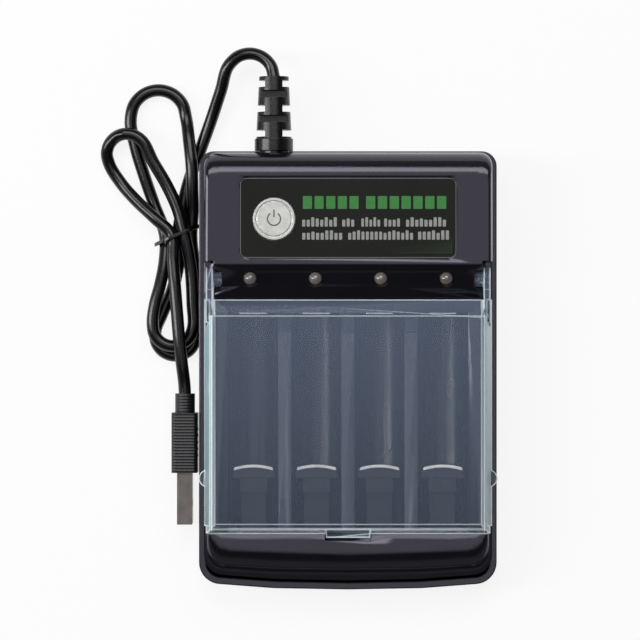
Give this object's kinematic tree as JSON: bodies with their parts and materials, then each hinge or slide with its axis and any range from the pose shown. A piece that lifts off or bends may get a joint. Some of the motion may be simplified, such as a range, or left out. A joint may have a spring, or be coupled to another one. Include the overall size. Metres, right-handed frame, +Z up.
{
  "type": "battery charger",
  "caption": "Desktop charger for AA and AAA cells with a clear flip-up lid, sliding contacts, a push button and a captive USB lead tied in a hank.",
  "frame": {"origin": "centre of the casing's footprint, on the table", "axes": "+Z up, +Y towards the end where the lead leaves, +X across the bays"},
  "size_m": [0.1199, 0.1637, 0.0281],
  "materials": {
    "black_gloss": "glossy black moulded plastic",
    "label_film": "very dark olive printed film",
    "clear_lid": "clear moulding with a faint blue tint",
    "silver_button": "satin silver-grey button",
    "screw_steel": "plain steel",
    "foot_rubber": "matt black rubber",
    "switch_black": "moulded component body",
    "board_green": "green solder mask",
    "ferrite": "dark ferrite",
    "can_aluminium": "capacitor cans",
    "smoky_lamp": "smoky lamp domes",
    "nickel_strip": "nickel-plated spring strip",
    "slider_black": "dark moulded carriage",
    "spring_steel": "spring wire",
    "cord_black": "soft black cable jacket",
    "tie_black": "black tie",
    "plug_black": "satin black overmould",
    "plug_steel": "warm grey steel shell",
    "tongue_black": "black insulator",
    "contact_gold": "gold-plated contacts"
  },
  "bodies": {
    "casing": {"rear_shell": "black_gloss", "front_shell": "black_gloss", "label_panel": "label_film", "casing_screws": "screw_steel", "rubber_feet": "foot_rubber", "tact_switch": "switch_black", "circuit_board": "board_green", "board_screws": "screw_steel", "controller_chip": "switch_black", "power_inductor": "ferrite", "capacitors": "can_aluminium", "led_1": "smoky_lamp", "led_2": "smoky_lamp", "led_3": "smoky_lamp", "led_4": "smoky_lamp", "positive_contact_1": "nickel_strip", "positive_contact_2": "nickel_strip", "positive_contact_3": "nickel_strip", "positive_contact_4": "nickel_strip", "slider_spring_1": "spring_steel", "slider_spring_2": "spring_steel", "slider_spring_3": "spring_steel", "slider_spring_4": "spring_steel", "strain_relief": "cord_black", "cord": "cord_black", "cord_tie": "tie_black", "plug_body": "plug_black", "plug_shell": "plug_steel", "plug_tongue": "tongue_black", "plug_contacts": "contact_gold"},
    "lid": {"lid": "clear_lid"},
    "button": {"power_button": "silver_button"},
    "slider_1": {"contact_slider_1": "slider_black", "negative_contact_1": "nickel_strip"},
    "slider_2": {"contact_slider_2": "slider_black", "negative_contact_2": "nickel_strip"},
    "slider_3": {"contact_slider_3": "slider_black", "negative_contact_3": "nickel_strip"},
    "slider_4": {"contact_slider_4": "slider_black", "negative_contact_4": "nickel_strip"}
  },
  "joints": [
    {"name": "lid_hinge", "type": "hinge", "parent": "casing", "child": "lid", "pos_m": [0, 0.0274, 0.023], "axis": [-1, 0, 0], "range_deg": [0, 100]},
    {"name": "button_press", "type": "slide", "parent": "casing", "child": "button", "axis": [0, 0, -1], "range_m": [0, 0.0005], "stiffness_N_per_m": 400},
    {"name": "slider_1_slide", "type": "slide", "parent": "casing", "child": "slider_1", "axis": [0, -1, 0], "range_m": [0, 0.0105], "stiffness_N_per_m": 120, "springref_m": -0.003, "deforming": ["slider_spring_1"]},
    {"name": "slider_2_slide", "type": "slide", "parent": "casing", "child": "slider_2", "axis": [0, -1, 0], "range_m": [0, 0.0105], "stiffness_N_per_m": 120, "springref_m": -0.003, "deforming": ["slider_spring_2"]},
    {"name": "slider_3_slide", "type": "slide", "parent": "casing", "child": "slider_3", "axis": [0, -1, 0], "range_m": [0, 0.0105], "stiffness_N_per_m": 120, "springref_m": -0.003, "deforming": ["slider_spring_3"]},
    {"name": "slider_4_slide", "type": "slide", "parent": "casing", "child": "slider_4", "axis": [0, -1, 0], "range_m": [0, 0.0105], "stiffness_N_per_m": 120, "springref_m": -0.003, "deforming": ["slider_spring_4"]}
  ]
}
